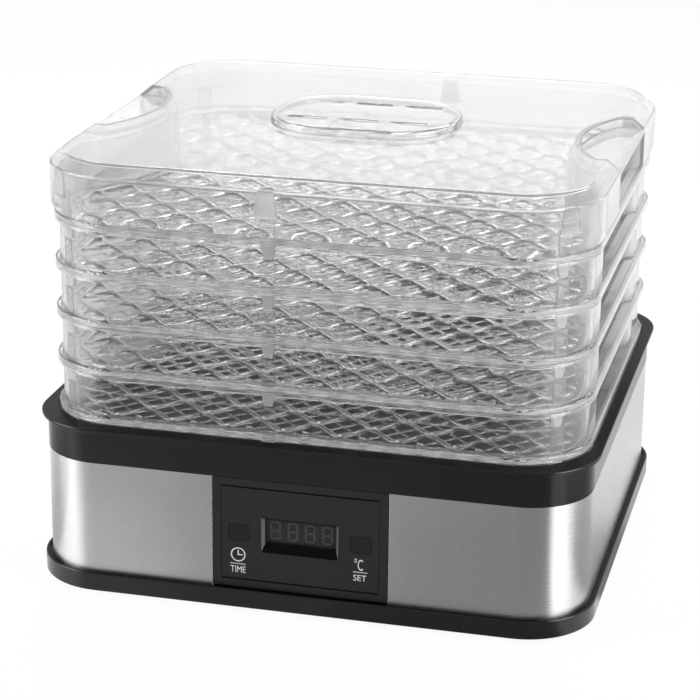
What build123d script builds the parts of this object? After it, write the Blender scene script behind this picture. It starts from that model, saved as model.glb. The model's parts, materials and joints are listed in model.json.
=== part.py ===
from build123d import *
import math
import os

# Food dehydrator: a fan base with five stacked clear trays and a clear lid.
# Millimetres, +Z up, front towards -Y, origin under the middle of the feet.

# Outline of the base, seen from above
body_w = 340.0
body_d = 320.0
body_r = 43.0

# Heights of the base
foot_proud = 2.5
skirt_h = 11.5
band_h = 69.5
rim_h = 22.5
seat_sink = 1.8
deck_sink = 10.0

# Walls of the base
floor_t = 2.5
band_inset = 4.0
band_t = 0.8
band_gap = 0.15
upstand_t = 2.0
skirt_top_round = 0.8
edge_round = 1.0
groove_w = 2.0
groove_deep = 1.5
rim_lip_t = 2.2
rim_lip_round = 0.7
rim_face_proud = 0.3
rim_wall = 3.0
rim_flange_w = 7.5
rim_flange_t = 3.0
deck_t = 3.0
dish_wall = 2.5

# Trays, whose walls stand in from the base's outline by the two ring sizes
tray_count = 5
ring_x = 10.0
ring_y = 12.0
tray_r = 44.0
tray_wall = 2.0
tray_pitch = 29.6
lip_out = 3.0
lip_h = 6.5
lip_top_round = 1.5
lip_bottom_round = 1.2
nest_depth = 2.0
nest_gap = 0.3
ledge_w = 4.0
floor_net_t = 2.5
seat_gap = 0.6

# Finger scoops in the left and right walls; the lips run straight past them
scoop_end = 74.3
scoop_depth = 31.5
scoop_round = 12.0

# Tapered lugs under a tray, which drop inside the wall below
lug_top_w = 9.0
lug_tip_w = 5.0
lug_t = 2.5
lug_drop = 8.0
lug_gap = 0.6
lug_x = 22.0

# Net in a tray's floor: bars at 45 degrees with square gaps
net_cell = 24.1
net_bar = 2.4
net_border = 3.0
net_least_gap = 12.0
net_lift = 0.3

# Lid
lid_out = 5.0
lid_t = 2.5
lid_headroom = 9.9
lid_slope_w = 8.0
lid_slope_h = 6.8
lid_scoop_in = 19.7
lid_foot_in = 2.4
lid_foot_h = 4.5
lid_gap = 0.4
lid_rib_w = 9.0
lid_rib_foot_w = 13.0
lid_rib_t = 1.6
lid_rib_h = 15.0
vent_w = 116.0
vent_d = 92.0
vent_r = 40.0
vent_h = 5.0
vent_round = 3.0
vent_slot_l = 24.0
vent_slot_w = 5.0
vent_slot_pitch_x = 32.0
vent_slot_pitch_y = 44.0

# Control panel in the gap of the steel band
fascia_side = 9.9
fascia_edge_gap = 0.1
fascia_body_side = 7.2
fascia_body_low = 5.5
fascia_body_high = 7.0
fascia_body_t = 4.0
window_gap = 0.3
seam_inset = 5.0
seam_w = 0.6
seam_deep = 0.4
control_rise = 0.4

# Display
bezel_w = 46.6
bezel_h = 21.4
bezel_side = 1.8
bezel_top = 1.5
bezel_bottom = 5.0
bezel_deep = 2.5
lens_lap = 2.0
lens_t = 1.5
lens_gap = 0.2
led_air = 0.6
led_t = 8.0
digit_count = 4
digit_pitch = 10.4
digit_w = 6.0
digit_h = 11.0
digit_bar = 1.1
digit_bar_gap = 0.25
digit_t = 0.2

# Buttons
button_space = 7.4
button_w = 12.6
button_h = 10.2
button_corner = 1.6
button_gap = 0.2
button_sunk = 0.4
button_flange_w = 1.2
button_flange_t = 1.2
button_flange_gap = 0.1
button_stem_d = 4.0
button_stem_l = 0.6
button_travel = 0.8
switch_gap = 0.1
switch_side = 6.0
switch_t = 3.5
plunger_d = 3.2
plunger_l = 1.5

# Circuit boards
board_t = 1.6
control_board_side = 5.0
board_post_out = 3.0
board_post_over = 6.3
board_post_edge = 6.0
board_post_d = 6.0
power_board_w = 92.0
power_board_d = 48.0
power_board_inset = 42.0
power_post_x = 40.0
power_post_y = 18.0
power_post_h = 6.0
relay_size = (20.0, 16.0, 16.0)
capacitor_size = (26.0, 11.0, 18.0)
terminal_size = (24.0, 12.0, 14.0)
part_spread_x = 20.0
part_spread_y = 10.0

# Screws, and the slack of their shanks in their holes
small_shank_d = 2.8
small_head_d = 5.5
small_head_t = 1.8
small_screw_in = 4.5
screw_slack = 0.1
house_shank_d = 3.5
house_head_d = 7.6
house_head_t = 3.0
house_screw_in = 14.0

# Posts that join the base and the rim
pillar_inset = 48.0
pillar_d = 12.0
pillar_rise = 45.0
pillar_ledge = 10.0
pillar_bore_d = 8.4
pillar_hole_d = 4.4
rim_boss_d = 10.0

# Fan, motor and air path
duct_d = 150.0
duct_t = 0.8
duct_lift = 2.0
duct_flange_w = 13.0
duct_screw_out = 8.0
duct_screw_in = 2.2
intake_in = 17.0
intake_slot_w = 5.0
intake_pitch = 10.0
bracket_post = 52.0
bracket_post_d = 9.0
bracket_post_h = 11.0
bracket_t = 2.0
bracket_disc_d = 70.0
bracket_arm_w = 16.0
motor_d = 56.0
motor_h = 26.0
motor_bore_floor = 6.0
motor_screw_r = 18.0
shaft_d = 5.0
shaft_run = 0.05
shaft_end_gap = 2.0
hub_d = 26.0
hub_h = 17.0
hub_lift = 6.0
shaft_nose = 1.5
hub_slack = 0.05
blade_count = 7
blade_chord = 32.0
blade_t = 1.8
blade_pitch = 30.0
blade_tip_gap = 4.0

# Outlet grille over the fan
grille_lap = 4.0
grille_gap = 0.3
grille_sunk = 1.5
grille_t = 2.5
grille_rings = 4
grille_spokes = 12
grille_bar = 2.4
grille_hub_d = 34.0

# Heater ring and what holds and guards it
heater_in = 23.0
heater_tube_d = 6.5
heater_drop = 13.2
heater_leg_y = 8.0
heater_leg_out = 8.0
heater_hole_gap = 0.3
holder_w = 8.0
holder_h = 14.0
holder_inner = 5.0
holder_gap = 0.15
cutout_d = 16.0
cutout_l = 8.0
cutout_angle = 215.0
cutout_drop = 29.2
cutout_blade = (0.8, 6.3, 7.0)
sensor_d = 4.0
sensor_reach = 18.0
sensor_collar_d = 8.0
sensor_collar_l = 2.0
sensor_tail = 5.0
sensor_angle = 20.0
sensor_drop = 7.2
sensor_gap = 0.15
wall_contact = 0.05

# Cord entry at the back
bush_x = 60.0
bush_rise = 22.0
bush_hole_d = 14.0
bush_slack = 0.1
bush_flange_d = 20.0
bush_flange_t = 3.0
bush_bore_d = 7.5
bush_tail = 4.0

# Feet
foot_inset_x = 60.0
foot_inset_y = 22.0
foot_d = 20.0
foot_peg_d = 8.0
foot_peg_slack = 0.1

# Levels and faces that follow from the sizes above
floor_top = foot_proud + floor_t
skirt_top = foot_proud + skirt_h
rim_z = skirt_top + band_h
rim_top = rim_z + rim_h
seat_z = rim_top - seat_sink
deck_top = seat_z - deck_sink
deck_z = deck_top - deck_t
upstand_inset = band_inset + band_t + band_gap
band_z = skirt_top - groove_deep
rim_face = band_inset - rim_face_proud
front_y = -body_d / 2 + band_inset
back_y = -front_y
upstand_face = -body_d / 2 + upstand_inset
fascia_back = upstand_face + fascia_body_t
tray_w = body_w - 2 * ring_x
tray_d = body_d - 2 * ring_y
scoop_half = tray_d / 2 - scoop_end
scoop_r = (scoop_half ** 2 + scoop_depth ** 2) / (2 * scoop_depth)
scoop_centre = tray_w / 2 - scoop_depth + scoop_r
lid_seat = seat_z + (tray_count - 1) * tray_pitch + lip_h
lid_h = tray_pitch + nest_depth - lip_h + lid_headroom
control_z = (skirt_top + rim_z) / 2 + control_rise
button_x = bezel_w / 2 + button_space + button_w / 2
fascia_w = 2 * (button_x + button_w / 2 + fascia_side)
fascia_body_w = fascia_w - 2 * fascia_body_side
fascia_body_z0 = skirt_top + fascia_body_low
fascia_body_z1 = rim_z - fascia_body_high
board_post_x = button_x + board_post_out
board_post_rise = bezel_h / 2 + board_post_over
control_board_w = 2 * (board_post_x + control_board_side)
control_board_h = 2 * (board_post_rise + board_post_edge)
power_board_y = body_d / 2 - power_board_inset
pillar_x = body_w / 2 - pillar_inset
pillar_y = body_d / 2 - pillar_inset
pillar_top = floor_top + pillar_rise
foot_x = body_w / 2 - foot_inset_x
foot_y = body_d / 2 - foot_inset_y
bush_z = skirt_top + bush_rise
bracket_z = floor_top + bracket_post_h
motor_z = bracket_z + bracket_t
motor_top = motor_z + motor_h
hub_z = motor_top + hub_lift
duct_foot = motor_top + duct_lift
duct_screw_r = duct_d / 2 + duct_screw_out
intake_r = duct_d / 2 - intake_in
heater_r = duct_d / 2 - heater_in
heater_z = deck_z - heater_drop
cutout_z = deck_z - cutout_drop
sensor_z = deck_z - sensor_drop
led_face = front_y + bezel_deep + lens_t + led_air
board_face = led_face + led_t
power_z = floor_top + power_post_h


def slab(sketch, z0, z1):
    return extrude(Pos(0, 0, z0) * sketch, z1 - z0)


def block(x0, x1, y0, y1, z0, z1):
    middle = Pos((x0 + x1) / 2, (y0 + y1) / 2, (z0 + z1) / 2)
    return middle * Box(x1 - x0, y1 - y0, z1 - z0)


def rod(x, y, z0, z1, d):
    return Pos(x, y, (z0 + z1) / 2) * Cylinder(d / 2, z1 - z0)


def rod_y(x, z, y0, y1, d):
    return Pos(x, (y0 + y1) / 2, z) * Rot(90, 0, 0) * Cylinder(d / 2, y1 - y0)


def spoke(angle, z, r0, r1, d):
    return Rot(0, 0, angle) * Pos((r0 + r1) / 2, 0, z) * Rot(0, 90, 0) * Cylinder(d / 2, r1 - r0)


def corners(x, y):
    return [(sx * x, sy * y) for sx in (-1, 1) for sy in (-1, 1)]


def outline(inset):
    # the base's outline, moved in by inset
    return RectangleRounded(body_w - 2 * inset, body_d - 2 * inset, body_r - inset)


def plain_plan(grow):
    # outline of the stack without its scoops, moved out by grow
    return RectangleRounded(tray_w + 2 * grow, tray_d + 2 * grow, tray_r + grow)


def stack_plan(grow):
    # outline of a tray's wall with its two finger scoops, moved out by grow
    half_w = tray_w / 2 + grow
    plan = plain_plan(grow)
    radius = scoop_r - grow
    for side in (-1, 1):
        plan -= Pos(side * scoop_centre, 0) * Circle(radius)
    reach = math.sqrt(radius ** 2 - (scoop_centre - half_w) ** 2)
    tips = [v for v in plan.vertices() if abs(abs(v.Y) - reach) < 0.01]
    return fillet(tips, scoop_round + grow)


def rounded_slab(sketch, z0, z1, top_round, bottom_round):
    solid = slab(sketch, z0, z1)
    solid = fillet(solid.faces().sort_by(Axis.Z)[-1].edges(), top_round)
    return fillet(solid.faces().sort_by(Axis.Z)[0].edges(), bottom_round)


def screw(x, y, z, reach, up, shank_d, head_d, head_t):
    # pan head screw whose head bears at height z; up is the way the shank points
    shank = rod(x, y, min(z, z + up * reach), max(z, z + up * reach), shank_d)
    head = rod(x, y, min(z, z - up * head_t), max(z, z - up * head_t), head_d)
    return shank + head


def small_screw(x, y, z, reach, up):
    return screw(x, y, z, reach, up, small_shank_d, small_head_d, small_head_t)


def blind_hole(x, y, z, depth, up, d):
    return rod(x, y, min(z, z + up * depth), max(z, z + up * depth), d)


def make_base_housing():
    tub = rounded_slab(outline(0), foot_proud, skirt_top, skirt_top_round, edge_round)
    # groove that the steel band stands in
    tub -= slab(outline(band_inset - groove_w), band_z, skirt_top)
    tub += slab(outline(upstand_inset), band_z, rim_z)
    tub -= slab(outline(upstand_inset + upstand_t), floor_top, rim_z)
    # opening behind the control panel
    half = fascia_body_w / 2 + window_gap
    inside = upstand_face + upstand_t
    tub -= block(-half, half, upstand_face, inside, fascia_body_z0 - window_gap,
                 fascia_body_z1 + window_gap)
    # air intake slots under the fan
    steps = int(intake_r // intake_pitch)
    for step in range(-steps, steps + 1):
        x = step * intake_pitch
        length = 2 * math.sqrt(intake_r ** 2 - x ** 2)
        if length > 2 * intake_slot_w:
            tub -= slab(Pos(x, 0) * SlotOverall(length, intake_slot_w, rotation=90), foot_proud, floor_top)
    for x, y in corners(pillar_x, pillar_y):
        tub += rod(x, y, foot_proud, pillar_top, pillar_d)
        tub -= rod(x, y, foot_proud, pillar_top - pillar_ledge, pillar_bore_d)
        tub -= rod(x, y, pillar_top - pillar_ledge, pillar_top, pillar_hole_d)
    for x, y in corners(bracket_post, bracket_post):
        tub += rod(x, y, floor_top, bracket_z, bracket_post_d)
        tub -= blind_hole(x, y, bracket_z, small_screw_in + screw_slack, -1, small_shank_d + screw_slack)
    for x, y in corners(power_post_x, power_post_y):
        tub += rod(x, power_board_y + y, floor_top, power_z, board_post_d)
        tub -= blind_hole(x, power_board_y + y, power_z, small_screw_in + screw_slack, -1,
                          small_shank_d + screw_slack)
    for x, y in corners(foot_x, foot_y):
        tub -= rod(x, y, foot_proud, floor_top, foot_peg_d + foot_peg_slack)
    tub -= rod_y(bush_x, bush_z, back_y - band_t - band_gap - upstand_t, back_y, bush_hole_d)
    return tub


def make_steel_band():
    band = slab(outline(band_inset) - outline(band_inset + band_t), band_z, rim_z)
    half = fascia_w / 2
    band -= block(-half, half, front_y, front_y + band_t, band_z, rim_z)
    return band - rod_y(bush_x, bush_z, back_y - band_t, back_y, bush_hole_d)


def make_top_rim():
    # a thin lip over a face that is nearly flush with the band
    rim = rounded_slab(outline(0), rim_top - rim_lip_t, rim_top, rim_lip_round, rim_lip_round)
    rim += slab(outline(rim_face), rim_z, rim_top - rim_lip_t)
    rim -= slab(plain_plan(lip_out + seat_gap), seat_z, rim_top)
    rim -= slab(stack_plan(-tray_wall), deck_top, seat_z)
    inside = outline(rim_face + rim_wall)
    rim -= slab(outline(rim_flange_w), rim_z, rim_z + rim_flange_t)
    rim -= slab(inside, rim_z + rim_flange_t, deck_z)
    rim -= slab(inside - stack_plan(dish_wall - tray_wall), deck_z, seat_z - deck_t)
    rim -= rod(0, 0, deck_z, deck_top, duct_d)
    rim -= rod(0, 0, deck_top - grille_sunk, deck_top, duct_d + 2 * grille_lap + 2 * grille_gap)
    for x, y in corners(pillar_x, pillar_y):
        rim += rod(x, y, pillar_top, deck_z, rim_boss_d)
        rim -= blind_hole(x, y, pillar_top, house_screw_in + screw_slack, 1, house_shank_d + screw_slack)
    for angle in (45, 135, 225, 315):
        x = duct_screw_r * math.cos(math.radians(angle))
        y = duct_screw_r * math.sin(math.radians(angle))
        rim -= blind_hole(x, y, deck_z, duct_screw_in + screw_slack, 1, small_shank_d + screw_slack)
    return rim


def make_outlet_grille():
    z0 = deck_top - grille_sunk
    grille = rod(0, 0, z0, z0 + grille_t, duct_d + 2 * grille_lap)
    ring_step = (duct_d - grille_hub_d) / 2 / grille_rings
    for ring in range(grille_rings):
        inner = grille_hub_d / 2 + ring * ring_step
        outer = inner + ring_step - grille_bar
        gap = Circle(outer) - Circle(inner)
        for spoke_index in range(grille_spokes // 2):
            turn = 180 / (grille_spokes // 2) * spoke_index
            gap -= Rot(0, 0, turn) * Rectangle(duct_d, grille_bar)
        grille -= slab(gap, z0, z0 + grille_t)
    return grille


def bezel_face(low, high, side, y):
    # a rectangle across the display, at depth y
    z0 = control_z - bezel_h / 2 + low
    z1 = control_z + bezel_h / 2 - high
    half = bezel_w / 2 - side
    points = [(-half, y, z0), (half, y, z0), (half, y, z1), (-half, y, z1)]
    return make_face(Polyline(*points, close=True))


def window_z():
    return control_z - bezel_h / 2 + bezel_bottom, control_z + bezel_h / 2 - bezel_top


def button_block(grow, y0, y1, x):
    plate = RectangleRounded(button_w + 2 * grow, button_h + 2 * grow, button_corner + grow)
    return extrude(Plane(origin=(x, y0, control_z), x_dir=(1, 0, 0), z_dir=(0, 1, 0)) * plate, y1 - y0)


def make_fascia():
    half = fascia_w / 2 - fascia_edge_gap
    z0 = skirt_top + fascia_edge_gap
    z1 = rim_z - fascia_edge_gap
    fascia = block(-half, half, front_y, upstand_face, z0, z1)
    body_half = fascia_body_w / 2
    fascia += block(-body_half, body_half, upstand_face, fascia_back, fascia_body_z0, fascia_body_z1)
    # fine seam around the panel
    outer = block(-half + seam_inset, half - seam_inset, front_y, front_y + seam_deep,
                  z0 + seam_inset, z1 - seam_inset)
    inset = seam_inset + seam_w
    inner = block(-half + inset, half - inset, front_y, front_y + seam_deep, z0 + inset, z1 - inset)
    fascia -= outer - inner
    # sloping sides of the display opening, and the lens pocket behind it
    glass_y = front_y + bezel_deep
    fascia -= loft([bezel_face(0, 0, 0, front_y), bezel_face(bezel_bottom, bezel_top, bezel_side, glass_y)],
                   ruled=True)
    low, high = window_z()
    lens_half = bezel_w / 2 - bezel_side + lens_lap + lens_gap
    lap = lens_lap + lens_gap
    fascia -= block(-lens_half, lens_half, glass_y, fascia_back, low - lap, high + lap)
    for x in (-button_x, button_x):
        fascia -= button_block(button_gap, front_y, fascia_back, x)
    # posts that carry the control board
    for x, rise in corners(board_post_x, board_post_rise):
        fascia += rod_y(x, control_z + rise, fascia_back, board_face, board_post_d)
        fascia -= rod_y(x, control_z + rise, board_face - small_screw_in - screw_slack, board_face,
                        small_shank_d + screw_slack)
    return fascia


def make_lens():
    low, high = window_z()
    half = bezel_w / 2 - bezel_side + lens_lap
    glass_y = front_y + bezel_deep
    return block(-half, half, glass_y, glass_y + lens_t, low - lens_lap, high + lens_lap)


def make_display_module():
    low, high = window_z()
    half = bezel_w / 2 - bezel_side
    return block(-half, half, led_face, board_face, low, high)


def make_digit_bars():
    # unlit seven-bar digits on the face of the display
    low, high = window_z()
    middle = (low + high) / 2
    reach_z = (digit_h - digit_bar) / 2
    reach_x = (digit_w - digit_bar) / 2
    flat = digit_w - 2 * digit_bar - 2 * digit_bar_gap
    tall = reach_z - digit_bar - 2 * digit_bar_gap
    y = led_face - digit_t / 2
    bars = []
    for digit in range(digit_count):
        x = (digit - (digit_count - 1) / 2) * digit_pitch
        for level in (-1, 0, 1):
            bars.append(Pos(x, y, middle + level * reach_z) * Box(flat, digit_t, digit_bar))
        for side in (-1, 1):
            for level in (-0.5, 0.5):
                place = Pos(x + side * reach_x, y, middle + level * reach_z)
                bars.append(place * Box(digit_bar, digit_t, tall))
    return Compound(children=bars)


def make_button(x):
    flange_y = fascia_back + button_flange_gap
    flange_back = flange_y + button_flange_t
    button = button_block(0, front_y + button_sunk, flange_y, x)
    button += button_block(button_flange_w, flange_y, flange_back, x)
    return button + rod_y(x, control_z, flange_back, stem_end(), button_stem_d)


def stem_end():
    return fascia_back + button_flange_gap + button_flange_t + button_stem_l


def make_switches():
    # the plunger stands just past the button's full travel
    tip = stem_end() + button_travel + switch_gap
    switches = []
    for x in (-button_x, button_x):
        half = switch_side / 2
        body = block(x - half, x + half, board_face - switch_t, board_face, control_z - half, control_z + half)
        switches.append(body + rod_y(x, control_z, tip, board_face - switch_t, plunger_d))
    return Compound(children=switches)


def make_control_board():
    half = control_board_w / 2
    board = block(-half, half, board_face, board_face + board_t, control_z - control_board_h / 2,
                  control_z + control_board_h / 2)
    for x, rise in corners(board_post_x, board_post_rise):
        board -= rod_y(x, control_z + rise, board_face, board_face + board_t, small_shank_d + screw_slack)
    return board


def make_control_screws():
    back = board_face + board_t
    screws = []
    for x, rise in corners(board_post_x, board_post_rise):
        z = control_z + rise
        shank = rod_y(x, z, back - board_t - small_screw_in, back, small_shank_d)
        screws.append(shank + rod_y(x, z, back, back + small_head_t, small_head_d))
    return Compound(children=screws)


def make_power_board():
    half = power_board_w / 2
    board = block(-half, half, power_board_y - power_board_d / 2, power_board_y + power_board_d / 2,
                  power_z, power_z + board_t)
    for x, y in corners(power_post_x, power_post_y):
        board -= rod(x, power_board_y + y, power_z, power_z + board_t, small_shank_d + screw_slack)
    return board


def on_power_board(x, y, size):
    w, d, h = size
    return Pos(x, power_board_y + y, power_z + board_t + h / 2) * Box(w, d, h)


def make_terminal_block():
    terminals = on_power_board(part_spread_x, -part_spread_y, terminal_size)
    w, d, h = terminal_size
    top = power_z + board_t + h
    for step in (-1, 0, 1):
        terminals -= rod(part_spread_x + step * w / 3, power_board_y - part_spread_y, top - h / 3, top, w / 6)
    return terminals


def make_power_screws():
    top = power_z + board_t
    screws = [small_screw(x, power_board_y + y, top, board_t + small_screw_in, -1)
              for x, y in corners(power_post_x, power_post_y)]
    return Compound(children=screws)


def make_motor_bracket():
    plate = Circle(bracket_disc_d / 2)
    length = 2 * math.hypot(bracket_post, bracket_post)
    for turn in (45, 135):
        plate += Rot(0, 0, turn) * SlotOverall(length + bracket_arm_w, bracket_arm_w)
    bracket = slab(plate, bracket_z, motor_z)
    for x, y in corners(bracket_post, bracket_post):
        bracket -= rod(x, y, bracket_z, motor_z, small_shank_d + screw_slack)
    for side in (-1, 1):
        bracket -= rod(side * motor_screw_r, 0, bracket_z, motor_z, small_shank_d + screw_slack)
    return bracket


def make_bracket_screws():
    screws = [small_screw(x, y, motor_z, bracket_t + small_screw_in, -1)
              for x, y in corners(bracket_post, bracket_post)]
    return Compound(children=screws)


def make_motor():
    motor = rod(0, 0, motor_z, motor_top, motor_d)
    motor -= rod(0, 0, motor_z + motor_bore_floor, motor_top, shaft_d + 2 * shaft_run)
    for side in (-1, 1):
        motor -= blind_hole(side * motor_screw_r, 0, motor_z, small_screw_in + screw_slack, 1,
                            small_shank_d + screw_slack)
    return motor


def make_motor_screws():
    screws = [small_screw(side * motor_screw_r, 0, bracket_z, bracket_t + small_screw_in, 1)
              for side in (-1, 1)]
    return Compound(children=screws)


def make_shaft():
    return rod(0, 0, motor_z + motor_bore_floor + shaft_end_gap, hub_z + hub_h + shaft_nose, shaft_d)


def make_impeller():
    tip_r = duct_d / 2 - blade_tip_gap
    middle = hub_z + hub_h / 2
    span = tip_r - hub_d / 4
    blade = Pos(hub_d / 4 + span / 2, 0, middle) * Rot(blade_pitch, 0, 0) * Box(span, blade_chord, blade_t)
    wheel = rod(0, 0, hub_z, hub_z + hub_h, hub_d)
    for index in range(blade_count):
        wheel += Rot(0, 0, 360 / blade_count * index) * blade
    wheel &= rod(0, 0, hub_z - blade_chord, hub_z + hub_h + blade_chord, 2 * tip_r)
    return wheel - rod(0, 0, hub_z - blade_chord, hub_z + hub_h + blade_chord, shaft_d + 2 * hub_slack)


def make_duct():
    outer_d = duct_d + 2 * duct_t
    duct = rod(0, 0, duct_foot, deck_z, outer_d)
    duct += rod(0, 0, deck_z - duct_t, deck_z, duct_d + 2 * duct_flange_w)
    duct -= rod(0, 0, duct_foot, deck_z, duct_d)
    for angle in (45, 135, 225, 315):
        place = Rot(0, 0, angle) * Pos(duct_screw_r, 0, deck_z - duct_t / 2)
        duct -= place * Cylinder((small_shank_d + screw_slack) / 2, duct_t)
    for side in (-1, 1):
        leg = Pos(duct_d / 2, side * heater_leg_y, heater_z) * Rot(0, 90, 0)
        duct -= leg * Cylinder(heater_tube_d / 2 + heater_hole_gap, 4 * heater_leg_out)
    return duct - spoke(sensor_angle, sensor_z, duct_d / 2 - sensor_tail, duct_d / 2 + sensor_tail,
                        sensor_d + 2 * sensor_gap)


def make_duct_screws():
    screws = []
    for angle in (45, 135, 225, 315):
        x = duct_screw_r * math.cos(math.radians(angle))
        y = duct_screw_r * math.sin(math.radians(angle))
        screws.append(small_screw(x, y, deck_z - duct_t, duct_t + duct_screw_in, 1))
    return Compound(children=screws)


def make_heater():
    # open ring with two straight ends that leave through the duct wall
    ring = Pos(0, 0, heater_z) * Torus(heater_r, heater_tube_d / 2)
    start = math.sqrt(heater_r ** 2 - heater_leg_y ** 2)
    ring -= block(0, heater_r + heater_tube_d, -heater_leg_y, heater_leg_y, heater_z - heater_tube_d,
                  heater_z + heater_tube_d)
    end = duct_d / 2 + duct_t + heater_leg_out
    for side in (-1, 1):
        leg = Pos((start + end) / 2, side * heater_leg_y, heater_z) * Rot(0, 90, 0)
        ring += leg * Cylinder(heater_tube_d / 2, end - start)
    return ring


def make_heater_holders():
    tunnel = Pos(0, 0, heater_z) * Torus(heater_r, heater_tube_d / 2 + holder_gap)
    outer = math.sqrt((duct_d / 2 - wall_contact) ** 2 - (holder_w / 2) ** 2)
    inner = heater_r - heater_tube_d / 2 - holder_inner
    holders = []
    for angle in (90, 180, 270):
        bar = block(inner, outer, -holder_w / 2, holder_w / 2, heater_z - holder_h / 2, heater_z + holder_h / 2)
        holders.append(Rot(0, 0, angle) * bar - tunnel)
    return Compound(children=holders)


def make_cutout():
    face = duct_d / 2 + duct_t + wall_contact
    cutout = spoke(cutout_angle, cutout_z, face, face + cutout_l, cutout_d)
    blade_t_mm, blade_w, blade_l = cutout_blade
    for side in (-1, 1):
        tab = Pos(face + cutout_l + blade_l / 2, side * cutout_d / 4, cutout_z) * Box(blade_l, blade_t_mm, blade_w)
        cutout += Rot(0, 0, cutout_angle) * tab
    return cutout


def make_sensor():
    wall = duct_d / 2 + duct_t
    sensor = spoke(sensor_angle, sensor_z, duct_d / 2 - sensor_reach, wall + sensor_tail, sensor_d)
    collar = spoke(sensor_angle, sensor_z, wall + wall_contact, wall + wall_contact + sensor_collar_l,
                   sensor_collar_d)
    return sensor + collar


def make_cord_bush():
    inside = back_y - band_t - band_gap - upstand_t - bush_tail
    bush = rod_y(bush_x, bush_z, inside, back_y, bush_hole_d - 2 * bush_slack)
    bush += rod_y(bush_x, bush_z, back_y, back_y + bush_flange_t, bush_flange_d)
    return bush - rod_y(bush_x, bush_z, inside, back_y + bush_flange_t, bush_bore_d)


def make_feet():
    feet = []
    for x, y in corners(foot_x, foot_y):
        pad = rod(x, y, 0, foot_proud, foot_d)
        feet.append(pad + rod(x, y, foot_proud, floor_top, foot_peg_d))
    return Compound(children=feet)


def make_housing_screws():
    bearing = pillar_top - pillar_ledge
    screws = [screw(x, y, bearing, pillar_ledge + house_screw_in, 1, house_shank_d, house_head_d, house_head_t)
              for x, y in corners(pillar_x, pillar_y)]
    return Compound(children=screws)


def tapered_plate(top_w, tip_w, top_z, tip_z, thickness):
    # upright plate that narrows downwards, its outer face on the line y = 0
    points = [(-top_w / 2, 0, top_z), (top_w / 2, 0, top_z), (tip_w / 2, 0, tip_z), (-tip_w / 2, 0, tip_z)]
    return extrude(make_face(Polyline(*points, close=True)), thickness, dir=(0, 1, 0))


def around_stack(plate, inset, shift):
    # the plate at the front, the back and the four corners, inset from the wall's outer face
    front = Pos(0, inset - tray_d / 2, 0)
    places = [Pos(-shift, 0, 0) * front, Rot(0, 0, 180) * Pos(-shift, 0, 0) * front]
    centre_x = tray_w / 2 - tray_r
    centre_y = tray_d / 2 - tray_r
    for sx, sy in corners(1, 1):
        turn = math.degrees(math.atan2(sy, sx)) + 90
        places.append(Pos(sx * centre_x, sy * centre_y, 0) * Rot(0, 0, turn) * Pos(0, inset - tray_r, 0))
    return [place * plate for place in places]


def make_tray_frame():
    # a tray at its own seat height of zero
    lip = rounded_slab(plain_plan(lip_out), 0, lip_h, lip_top_round, lip_bottom_round)
    wall = slab(stack_plan(0), nest_depth, tray_pitch + nest_depth)
    frame = lip + wall
    frame -= slab(plain_plan(nest_gap), 0, nest_depth)
    ledge_top = nest_depth + floor_net_t
    # a thin shelf and the straight lip stay in front of each scoop
    frame -= slab(plain_plan(0) - stack_plan(0), ledge_top, lip_h)
    frame -= slab(stack_plan(-tray_wall), ledge_top, tray_pitch + nest_depth)
    frame -= slab(stack_plan(-tray_wall - ledge_w), nest_depth, ledge_top)
    lug = tapered_plate(lug_top_w, lug_tip_w, nest_depth, -lug_drop, lug_t)
    for piece in around_stack(lug, tray_wall + lug_gap, lug_x):
        frame += piece
    return frame


def make_tray_net():
    # bars at 45 degrees inside a plain border
    plan = stack_plan(-tray_wall - ledge_w)
    field = stack_plan(-tray_wall - ledge_w - net_border)
    opening = net_cell - net_bar
    reach = int(math.hypot(tray_w, tray_d) / 2 / net_cell) + 1
    gaps = []
    for row in range(-reach, reach + 1):
        for column in range(-reach, reach + 1):
            place = Rot(0, 0, 45) * Pos(column * net_cell, row * net_cell)
            middle = place.position
            if abs(middle.X) < tray_w / 2 and abs(middle.Y) < tray_d / 2:
                gaps.append(place * Rectangle(opening, opening))
    holes = field & Sketch(children=gaps)
    kept = [face for face in holes.faces() if face.area > net_least_gap]
    return slab(plan - Sketch(children=kept), nest_depth + net_lift, nest_depth + floor_net_t)


def lid_shell(levels):
    # solid through a list of (height, outward shift), one straight stretch after another
    solid = None
    for (z0, grow0), (z1, grow1) in zip(levels, levels[1:]):
        if grow0 == grow1:
            piece = slab(plain_plan(grow0), z0, z1)
        else:
            piece = loft([Pos(0, 0, z0) * plain_plan(grow0), Pos(0, 0, z1) * plain_plan(grow1)], ruled=True)
        solid = piece if solid is None else solid + piece
    return solid


def lid_scoops(grow, longer):
    # plan of the lid's two scoops, cut square at each end
    ends = Rectangle(2 * tray_w, 2 * (scoop_half - lid_scoop_in + longer))
    return (plain_plan(lid_out) - stack_plan(grow)) & ends


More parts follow.
